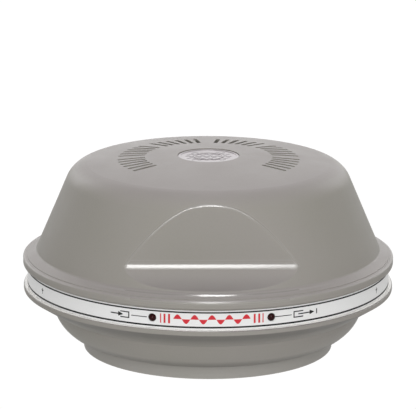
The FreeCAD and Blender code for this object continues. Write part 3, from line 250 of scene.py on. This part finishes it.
def case_masks(mat):
    """Polish and shade masks laid out from the case's own profile."""
    x, y, z = mat.split(mat.coords)
    radius = mat.hypot(x, y)

    def near(first, second, reach):
        """1 close to a point of the plane of two (socket, place) pairs, 0 at reach."""
        distance = mat.hypot(mat.sub(*first), mat.sub(*second))
        return mat.fall(distance, reach * 0.55, reach)

    upper_lip = mat.mul(near((radius, 0.1247), (z, 0.0628), reach=0.0016), 0.7)
    lips = mat.max(upper_lip, near((radius, 0.1228), (z, 0.0441), reach=0.0019))
    foot = mat.mul(near((radius, 0.1187), (z, 0.0663), reach=0.0012), 1.0)

    # inside the scoop: the crease and the shelf below the wall
    cone = mat.sub(radius, mat.sub(CONE_R, mat.mul(z, CONE_SLOPE)))
    recessed = mat.fall(cone, -0.0010, -0.0003)
    crease = mat.mul(near((y, -0.0955), (z, 0.0804), reach=0.0034), recessed)
    shelf = mat.mul(mat.mul(recessed, mat.fall(z, 0.0775, 0.0788)),
                    mat.fall(y, -0.0965, -0.0957))

    # rim of the scoop: where the cone or the crown meets the near-vertical wall
    wall = mat.sub(mat.mul(y, -1.0), mat.sub(WALL_Y, mat.mul(z, WALL_SLOPE)))
    crown = mat.sub(mat.hypot(mat.sub(radius, CROWN_R), mat.sub(z, CROWN_Z)), CROWN_ROUND)
    high = mat.math("GREATER_THAN", z, CROWN_START)
    outer = mat.add(mat.mul(mat.abs(crown), high), mat.mul(mat.abs(cone), mat.sub(1.0, high)))
    on_outer = mat.fall(outer, 0.0002, 0.0006)
    on_wall = mat.fall(mat.abs(mat.sub(wall, 0.0001)), 0.0004, 0.0009)
    rim = mat.mul(mat.mul(on_outer, on_wall), mat.rise(z, 0.0785, 0.0810))

    # the polish is strongest at the middle of the front
    centre = mat.mul(mat.fall(mat.abs(x), 0.030, 0.080),
                     mat.remap(y, to=(1.0, 0.15), span=(-0.02, 0.02)))
    lips = mat.mul(lips, mat.remap(centre, to=(0.15, 1.0)))
    foot = mat.mul(foot, centre)
    polish = mat.max(mat.max(crease, lips), mat.max(foot, rim))

    # painted shade: soft darkening where the lower shell turns away under its lip and near its
    # bottom
    under = mat.mul(mat.remap(z, to=(0.0, 0.42), span=(0.029, 0.0365)),
                    mat.fall(z, 0.0405, 0.0412))
    fold = mat.mul(mat.remap(z, to=(0.0, 0.28), span=(0.0092, 0.0098)),
                   mat.fall(z, 0.0125, 0.0160))
    shade = mat.max(mat.max(under, fold), mat.mul(shelf, SHELF_SHADE))
    return z, polish, shade


def make_case():
    """Warm grey plastic: satin faces, polished lips and scoop edges."""
    mat = Mat("case_plastic")
    z, polish, shade = case_masks(mat)
    matt = mat.sub(1.0, polish)
    big = mat.noise(scale=13.0, rough=0.5)
    fine = mat.noise(scale=900.0, detail=2.0, rough=0.5)
    wipe = mat.noise(scale=38.0, detail=4.0, rough=0.6, stretch=(1.0, 1.0, 2.6))
    normal = mat.split(mat.node("ShaderNodeNewGeometry").outputs["Normal"])
    body = mat.mix(mat.rise(big), CASE_LOW, CASE_HIGH)
    # painted shade: up-facing faces take the darker top tone
    body = mat.mix(mat.rise(normal["Z"], 0.45, 0.98), body, CASE_TOP_PAINTED_SHADE)
    body = mat.mix(mat.remap(fine, to=(0.0, 0.10), span=(0.45, 0.75)), body,
                   scaled(CASE_LOW, 0.8))
    # painted light: slightly paler at the very bottom
    body = mat.mix(mat.remap(z, to=(0.075, 0.0), span=(0.0088, 0.0094)), body, WHITE)
    # painted shade: the colour is mixed towards black by the shade mask
    body = mat.mix(shade, body, BLACK)
    rough = mat.add(mat.remap(wipe, to=(CASE_ROUGH - 0.05, CASE_ROUGH + 0.05)),
                    mat.remap(fine, to=(-0.01, 0.02)))
    rough = mat.add(mat.mul(rough, matt), mat.mul(polish, 0.14))
    mat.set(color=body, rough=rough, spec=mat.add(0.10, mat.mul(polish, 0.88)))
    mat.bump([(mat.mul(fine, matt), 0.10, 0.00005),
              (mat.noise(scale=55.0, detail=1.0, rough=0.4), 0.04, 0.0004)])


# ---------------------------------------------------------- other materials
def make_lamp():
    """Dark red gloss, with painted shade darkening it towards grazing angles."""
    mat = Mat("lamp_red")
    fine = mat.noise(scale=300.0, rough=0.5)
    facing = mat.node("ShaderNodeLayerWeight", Blend=0.35).outputs["Facing"]
    color = mat.mix(mat.rise(fine), srgb(38, 4, 6), srgb(50, 7, 9))
    # painted shade: the colour darkens towards grazing angles
    color = mat.mix(facing, color, srgb(10, 2, 3))
    mat.set(color=color, rough=0.08, spec=0.16, ior=1.5)
    mat.bump([(fine, 0.02, 0.00003)])


def make_badge():
    """Silver with fine turned rings."""
    mat = Mat("badge_silver")
    ring_pitch = 0.0006
    x, y, _ = mat.split(mat.coords)
    rings = mat.math("SINE", mat.mul(mat.hypot(x, y), 2 * math.pi / ring_pitch))
    fine = mat.noise(scale=600.0, rough=0.6)
    color = mat.mix(mat.rise(fine), srgb(165, 159, 162), srgb(178, 172, 174))
    mat.set(color=color, metal=0.35, rough=mat.remap(fine, to=(0.34, 0.44)))
    mat.bump([(rings, 0.08, 0.00004)], mat.bevel(0.0002, samples=4))


def make_band():
    """Printed film: off-white with fine dots and a slight ripple."""
    mat = Mat("band_print")
    dots = mat.noise(scale=2600.0, detail=1.0, rough=0.5)
    ripple = mat.noise(scale=22.0, detail=2.0, rough=0.5, stretch=(1.0, 1.0, 0.25))
    color = mat.mix(mat.remap(dots, to=(0.0, 0.5)), srgb(236, 236, 236), srgb(222, 222, 221))
    color = mat.mix(mat.remap(ripple, to=(0.0, 0.35)), color, srgb(228, 227, 224))
    mat.set(color=color, rough=mat.remap(ripple, to=(0.30, 0.42)), coat=0.25, coat_rough=0.2)
    mat.bump([(dots, 0.05, 0.00003), (ripple, 0.08, 0.0003)])


def make_tape():
    """Yellow tape, lapped at an even pitch up Z."""
    mat = Mat("tape_yellow")
    lap_pitch = 0.0095
    lap = mat.math("SINE", mat.mul(mat.split(mat.coords)["Z"], 2 * math.pi / lap_pitch))
    mottle = mat.noise(scale=160.0, detail=4.0, rough=0.6)
    color = mat.mix(mat.rise(mottle), srgb(196, 168, 60), srgb(214, 190, 84))
    color = mat.mix(mat.remap(lap, to=(0.0, 0.4), span=(0.9, 1.0)), color, srgb(150, 124, 40))
    mat.set(color=color, rough=0.3, coat=0.3)
    mat.bump([(lap, 0.25, 0.0002), (mottle, 0.1, 0.0001)])


def make_board():
    """Green circuit board with paler tracks along square cell edges."""
    mat = Mat("board_green")
    cells = mat.node("ShaderNodeTexVoronoi", Vector=mat.coords, Scale=210.0)
    cells.feature = "DISTANCE_TO_EDGE"
    cells.distance = "CHEBYCHEV"
    track = mat.fall(cells.outputs["Distance"], 0.04, 0.09)
    fine = mat.noise(scale=500.0, rough=0.6)
    color = mat.mix(mat.rise(fine), srgb(26, 92, 52), srgb(32, 104, 60))
    color = mat.mix(mat.mul(track, 0.5), color, srgb(70, 140, 74))
    mat.set(color=color, rough=0.28, coat=0.3)
    mat.bump([(track, 0.1, 0.0001)])


def make_glass():
    mat = Mat("clear_glass")
    fine = mat.noise(scale=300.0, detail=2.0, rough=0.5)
    mat.set(color=srgb(236, 242, 240), rough=mat.remap(fine, to=(0.02, 0.06)),
            trans=0.95, ior=1.47)
    mat.bump([(fine, 0.01, 0.00003)])


def make_rubber():
    """Scuffed black rubber."""
    mat = Mat("cord_rubber")
    fine = mat.noise(scale=700.0, detail=4.0, rough=0.6)
    scuff = mat.noise(scale=55.0, detail=5.0, rough=0.65)
    color = mat.mix(mat.remap(scuff, to=(0.0, 0.6)), srgb(38, 38, 40), srgb(58, 57, 57))
    mat.set(color=color, rough=mat.remap(scuff, to=(0.42, 0.6)), sheen=0.1)
    mat.bump([(fine, 0.15, 0.0001)], mat.bevel(0.0005, samples=4))


make_case()
moulded("black_plastic", (34, 34, 36), rough=0.34, grain=1600.0, grain_amount=0.25,
        spread=0.06, painted_edge_highlight=0.18)
moulded("rocker_red", (150, 22, 20), rough=0.2, grain_amount=0.04, spread=0.04, coat=0.3,
        painted_edge_highlight=0.12)
moulded("white_nylon", (214, 208, 192), rough=0.45, grain_amount=0.12, spread=0.04)
moulded("relay_blue", (34, 66, 128), rough=0.22, grain_amount=0.05, coat=0.2)
moulded("trimmer_blue", (38, 84, 150), rough=0.35)
moulded("capacitor_sleeve", (30, 38, 66), rough=0.25, grain_amount=0.03, spread=0.08, coat=0.2)
moulded("ceramic_tan", (190, 158, 112), rough=0.4, spread=0.08)
moulded("wire_pvc", (150, 34, 28), rough=0.35, grain_amount=0.06)
# printed inks: key, colour, roughness, grain amount, colour spread
for key, rgb, rough, grain_amount, spread in (
    ("ink_black", (14, 14, 15), 0.6, 0.05, 0.03),
    ("ink_grey", (112, 105, 109), 0.42, 0.05, 0.04),
    ("ink_red", (206, 28, 44), 0.35, 0.05, 0.03),
    # the hem's white is brighter than the band's: partly a painted highlight
    ("hem_white_and_highlight", (246, 244, 240), 0.3, 0.03, 0.02),
    ("ink_white", (226, 226, 222), 0.4, 0.05, 0.03),
):
    moulded(key, rgb, rough, grain_amount=grain_amount, spread=spread, bevel=0.00005)
metal("zinc_steel", (176, 176, 170), rough=0.32)
metal("core_steel", (92, 92, 96), rough=0.45, brushed=(1.0, 60.0, 1.0), spread=0.2, scratch=0.4)
metal("contact_brass", (206, 172, 96), rough=0.24)
metal("winding_copper", (186, 98, 52), rough=0.3, brushed=(1.0, 1.0, 60.0), spread=0.1,
      scratch=0.6)
make_lamp()
make_badge()
make_band()
make_tape()
make_board()
make_glass()
make_rubber()

slots = {part["node"]: part["material_slot"] for part in frame["record"]["subparts"]}
for name, obj in nodes.items():
    obj.data.materials.clear()
    obj.data.materials.append(MATS[slots[name]])


# ------------------------------------------------------------ mesh building
def piece(name, build, key, body="case"):
    """Smooth-shaded object filled by build(bm), riding on a body."""
    bm = bmesh.new()
    build(bm)
    bmesh.ops.recalc_face_normals(bm, faces=bm.faces)
    mesh = bpy.data.meshes.new(name)
    bm.to_mesh(mesh)
    bm.free()
    obj = bpy.data.objects.new(name, mesh)
    scene.collection.objects.link(obj)
    mesh.materials.append(MATS[key])
    mesh.shade_smooth()
    mesh.set_sharp_from_angle(angle=math.radians(35))
    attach(obj, body)


def polar(radius, degrees, z):
    """Point about the Z axis; 0 degrees is the front (-Y), positive turns towards +X."""
    angle = math.radians(degrees)
    return Vector((radius * math.sin(angle), -radius * math.cos(angle), z))


def bridge(bm, first, second):
    """Quads between two closed loops of vertices."""
    for i in range(len(first)):
        j = (i + 1) % len(first)
        bm.faces.new((first[i], first[j], second[j], second[i]))


def sweep(bm, sections, closed=False):
    """Solid through a row of four-point sections, capped unless closed."""
    rows = [[bm.verts.new(point) for point in section] for section in sections]
    for first, second in zip(rows, rows[1:]):
        bridge(bm, first, second)
    if closed:
        bridge(bm, rows[-1], rows[0])
    else:
        bm.faces.new(rows[0][::-1])
        bm.faces.new(rows[-1])


def ring(bm, r_in, r_out, z_low, z_high, segments=256):
    """Closed rectangular-section ring about the vertical axis."""
    loops = [[bm.verts.new(polar(radius, 360 * i / segments, z)) for i in range(segments)]
             for radius, z in ((r_in, z_low), (r_out, z_low), (r_out, z_high), (r_in, z_high))]
    for j in range(4):
        bridge(bm, loops[j], loops[(j + 1) % 4])


# ------------------------------------------------------- marks on the band
# Band marks are drawn in (degrees round the band, millimetres above BAND_MID).
# Their widths and heights are in millimetres too.
BAND_MID = 0.0512
INK_BASE = 0.12210 + 0.00001        # just proud of the band's radius
INK_TOP = INK_BASE + 0.00006
MM_PER_DEGREE = math.radians(1.0) * INK_BASE * 1000
STROKE_STEP = 1.2       # longest step wanted along a stroke, mm
MIN_MITRE = 0.45        # limits how far a corner is widened


def on_band(radius, degrees, height):
    return polar(radius, degrees, BAND_MID + height / 1000)


def stroke(bm, points, width):
    """A printed line: a thin solid ribbon along the points."""
    corners = [Vector((degrees * MM_PER_DEGREE, height)) for degrees, height in points]
    path = []
    for start, end in zip(corners, corners[1:]):
        steps = max(1, int((end - start).length / STROKE_STEP))
        path += [start.lerp(end, i / steps) for i in range(steps)]
    path.append(corners[-1])
    legs = [(end - start).normalized() for start, end in zip(path, path[1:])]
    sections = []
    for point, before, after in zip(path, legs[:1] + legs, legs + legs[-1:]):
        along = (before + after).normalized()
        across = Vector((-along.y, along.x))
        mitre = max(MIN_MITRE, across.dot(Vector((-before.y, before.x))))
        offset = across * (width / 2 / mitre)
        section = []
        for side, radius in ((1, INK_BASE), (-1, INK_BASE), (-1, INK_TOP), (1, INK_TOP)):
            edge = point + offset * side
            section.append(on_band(radius, edge.x / MM_PER_DEGREE, edge.y))
        sections.append(section)
    sweep(bm, sections)


def plate(bm, corners):
    """A printed filled patch."""
    low, top = ([bm.verts.new(on_band(radius, *corner)) for corner in corners]
                for radius in (INK_BASE, INK_TOP))
    bm.faces.new(low[::-1])
    bm.faces.new(top)
    bridge(bm, low, top)


def rules(bm):
    """Lines along the band's lower and upper edges."""
    ring(bm, INK_BASE, INK_TOP, 0.04545, 0.04655)
    ring(bm, INK_BASE, INK_TOP, 0.05530, 0.05625)


def hem(bm):
    """The band's turned-out hem, lying on the lower lip; its white, brighter than the band's, is
    partly a painted highlight.
    """
    ring(bm, 0.12200, 0.12410, 0.04411, 0.04418)


def wave_mark(bm):
    """A wave at the front, its half waves filled, between two sets of upright bars."""
    waves = 9
    span = 23.4         # degrees
    half_height = 3.05
    steps = 16
    for i in range(waves):
        start = -span / 2 + span * i / waves
        end = start + span / waves
        height = half_height if i % 2 == 0 else -half_height
        points = [(start + (end - start) * j / steps, height * math.sin(math.pi * j / steps))
                  for j in range(steps + 1)]
        # upper lobes are reversed so that all run anticlockwise seen from outside
        plate(bm, points[::-1] if height > 0 else points)
    for side in (-1, 1):
        for degrees, width in ((12.95, 1.25), (14.35, 1.25), (15.55, 0.7)):
            bar = [(side * degrees, -half_height), (side * degrees, half_height)]
            stroke(bm, bar, width)


def captions(bm):
    """Arrow into an open box on the left, arrow out of one on the right, ticks at the sides."""
    bold, fine, tick = 0.75, 0.5, 0.45      # stroke widths

    def level(start, end, width):
        stroke(bm, [(start, 0.0), (end, 0.0)], width)

    def upright(degrees, half_height, width):
        stroke(bm, [(degrees, half_height), (degrees, -half_height)], width)

    def arrowhead(base, tip, half_height=1.55):
        plate(bm, [(base, half_height), (base, -half_height), (tip, 0.0)])

    def open_box(mouth, back, half_height=1.85):
        stroke(bm, [(mouth, half_height), (back, half_height),
                    (back, -half_height), (mouth, -half_height)], width=0.7)

    level(-32.0, -29.2, bold)
    arrowhead(base=-29.4, tip=-27.7)
    open_box(mouth=-28.7, back=-25.8)
    level(-25.0, -19.9, fine)
    open_box(mouth=28.9, back=25.7)
    level(27.2, 31.4, bold)
    arrowhead(base=31.2, tip=32.9)
    upright(33.8, 1.7, bold)
    level(19.4, 24.9, fine)
    for degrees in (-64.6, 64.6):
        upright(degrees, -2.0, tick)
        plate(bm, [(degrees - 0.75, 0.9), (degrees, -0.6), (degrees + 0.75, 0.9)])


piece("band_rules", rules, "ink_black")
# hem ring on the lower lip: the band's hem, painted brighter as a highlight
piece("band_hem", hem, "hem_white_and_highlight")
piece("wave_mark", wave_mark, "ink_red")
piece("band_captions", captions, "ink_black")

# ----------------------------------------------- marks on the badge and rocker
RAY_START = 0.2         # clear of both faces
INK_SINK = 0.0001       # how far a mark reaches into its face


class Face:
    """A node's surface as seen along direction; origin(u, v) is where each ray starts."""

    def __init__(self, node, origin, direction):
        mesh = nodes[node].data
        self.tree = BVHTree.FromPolygons([v.co.copy() for v in mesh.vertices],
                                         [tuple(p.vertices) for p in mesh.polygons])
        self.origin = origin
        self.direction = Vector(direction)

    def ribbon(self, bm, points, width, lift, closed=False):
        """Thin solid stroke through (u, v) points; left out if any ray misses."""
        path = [Vector(point) for point in points]
        count = len(path)
        sections = []
        for i, point in enumerate(path):
            before = path[i - 1] if (i or closed) else point
            after = path[(i + 1) % count] if (i < count - 1 or closed) else point
            along = (after - before).normalized()
            across = Vector((-along.y, along.x)) * (width / 2)
            section = []
            for side, height in ((1, -INK_SINK), (-1, -INK_SINK), (-1, lift), (1, lift)):
                place = point + across * side
                hit = self.tree.ray_cast(Vector(self.origin(*place)), self.direction)[0]
                if hit is None:
                    return
                section.append(hit - self.direction * height)
            sections.append(section)
        sweep(bm, sections, closed)


def badge_mark(bm):
    """Five stacked ripples printed across the silver disc."""
    row_pitch = 0.0050
    disc_r = 0.0152
    amplitude = 0.0009
    wavelength = 0.0050
    steps = 120
    face = Face("top_badge", lambda u, v: (u, v, RAY_START), (0, 0, -1))
    for row in range(-2, 3):
        middle = row * row_pitch
        half = math.sqrt(disc_r ** 2 - middle ** 2)
        points = []
        for i in range(steps + 1):
            u = half * (2 * i / steps - 1)
            phase = u * 2 * math.pi / wavelength + row * math.pi
            points.append((u, middle + amplitude * math.sin(phase)))
        face.ribbon(bm, points, width=0.0014, lift=0.00006)


def rocker_marks(bm):
    """An upright bar above and a ring below."""
    low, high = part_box("switch_rocker")
    x, z = (low.x + high.x) / 2, (low.z + high.z) / 2
    bar_z = z + 0.0030
    ring_z = z - 0.0044
    ring_r = 0.0013
    face = Face("switch_rocker", lambda u, v: (u, RAY_START, v), (0, -1, 0))
    bar = [(x, bar_z + 0.0004 * i) for i in range(7)]
    face.ribbon(bm, bar, width=0.0007, lift=0.00005)
    angles = [2 * math.pi * i / 28 for i in range(28)]
    circle = [(x + ring_r * math.cos(a), ring_z + ring_r * math.sin(a)) for a in angles]
    face.ribbon(bm, circle, width=0.0006, lift=0.00005, closed=True)


piece("badge_mark", badge_mark, "ink_grey")
piece("rocker_marks", rocker_marks, "ink_white", body="rocker")

# ------------------------------------------------------------ stage and light
BACKDROP = 1.02         # floor and sky strength as the camera sees them
FLOOR_GLOW = 0.68       # floor strength for all other rays
SKY_LOW = 0.27          # sky at the horizon
SKY_HIGH = 0.34         # sky overhead
SKY_BACK = 1.4          # added behind the object (+Y)


def make_floor():
    """Glowing white floor."""
    mesh = bpy.data.meshes.new("floor")
    bm = bmesh.new()
    bmesh.ops.create_grid(bm, x_segments=4, y_segments=4, size=12.0)
    bm.to_mesh(mesh)
    bm.free()
    floor = bpy.data.objects.new("floor", mesh)
    scene.collection.objects.link(floor)
    mat = Mat("floor")
    mat.tree.nodes.remove(mat.shader)
    seen = mat.node("ShaderNodeLightPath").outputs["Is Camera Ray"]
    tint = mat.mix(mat.rise(mat.noise(scale=3.0, detail=2.0)), WHITE, (1.0, 1.0, 0.995, 1.0))
    strength = mat.remap(seen, to=(FLOOR_GLOW, BACKDROP), span=(0.0, 1.0))
    glow = mat.node("ShaderNodeEmission", Color=tint, Strength=strength)
    mat.feed(mat.tree.nodes["Material Output"].inputs["Surface"], glow.outputs[0])
    mesh.materials.append(mat.material)


def make_world():
    """Soft sky with a bright backdrop; plain white to the camera."""
    world = bpy.data.worlds.new("studio")
    scene.world = world
    world.use_nodes = True
    graph = Graph(world.node_tree, "Generated")
    _, y, z = graph.split(graph.coords)
    sky = graph.add(graph.remap(z, to=(SKY_LOW, SKY_HIGH), span=(0.0, 0.8)),
                    graph.remap(y, to=(0.0, SKY_BACK), span=(0.55, 0.9)))
    seen = graph.node("ShaderNodeLightPath").outputs["Is Camera Ray"]
    choose = graph.node("ShaderNodeMix")
    choose.data_type = "FLOAT"
    for index, value in ((0, seen), (2, sky), (3, BACKDROP)):
        graph.feed(choose.inputs[index], value)
    background = graph.tree.nodes["Background"]
    graph.feed(background.inputs["Strength"], choose.outputs[0])
    graph.feed(background.inputs["Color"], WHITE)


# name, location, target, width, height (None for a square), watts
LIGHTS = (
    ("overhead", (0.0, -0.42, 1.25), (0, -0.25, 0), 0.20, 0.95, 3.5),
    ("strip", (0.0, -1.42, 0.86), (0, 0, 0.08), 0.24, 1.0, 6.2),
    ("front", (-0.04, -2.1, 0.66), (0, 0, 0.08), 1.3, 0.8, 7.0),
    ("low", (-0.02, -2.12, 0.40), (0, 0, 0.08), 1.3, 0.14, 5.0),
    ("hair", (0.03, 0.355, 1.05), (0, -0.10, 0.06), 0.14, 0.10, 1.2),
    ("window_left", (-1.45, -0.55, 0.95), (0, 0, 0.06), 0.35, 0.9, 0.7),
    ("rear_left", (-1.2, 1.6, 1.0), (0, 0, 0.06), 0.9, None, 9.0),
    ("rear_right", (1.3, 1.5, 1.0), (0, 0, 0.06), 0.9, None, 9.0),
    ("window_right", (1.45, -0.65, 0.95), (0, 0, 0.06), 0.35, 0.9, 1.3),
)


def make_light(name, location, target, width, height, power):
    light = bpy.data.lights.new(name, "AREA")
    light.energy = power
    light.size = width
    if height:
        light.shape = "RECTANGLE"
        light.size_y = height
    obj = bpy.data.objects.new(name, light)
    obj.location = location
    aim = Vector(target) - Vector(location)
    obj.rotation_euler = aim.to_track_quat("-Z", "Y").to_euler()
    scene.collection.objects.link(obj)


def make_camera():
    """Long lens from the front, slightly above and to the left."""
    elevation = math.radians(13.8345)
    yaw = math.radians(1.25)
    roll = math.radians(0.23)
    distance = 1.998
    target = Vector((0.0, 0.0, 0.0969))
    data = bpy.data.cameras.new("camera")
    data.sensor_fit = "HORIZONTAL"
    data.sensor_width = 36.0
    data.lens = 256.455
    data.shift_x = -0.000721154
    data.clip_end = 60.0
    camera = bpy.data.objects.new("camera", data)
    offset = Vector((-math.sin(yaw) * math.cos(elevation),
                     -math.cos(yaw) * math.cos(elevation),
                     math.sin(elevation))) * distance
    camera.location = target + offset
    look = (-offset).to_track_quat("-Z", "Y").to_matrix()
    camera.rotation_euler = (look @ Matrix.Rotation(roll, 3, "Z")).to_euler()
    scene.collection.objects.link(camera)
    scene.camera = camera


make_floor()
make_world()
for light in LIGHTS:
    make_light(*light)
make_camera()

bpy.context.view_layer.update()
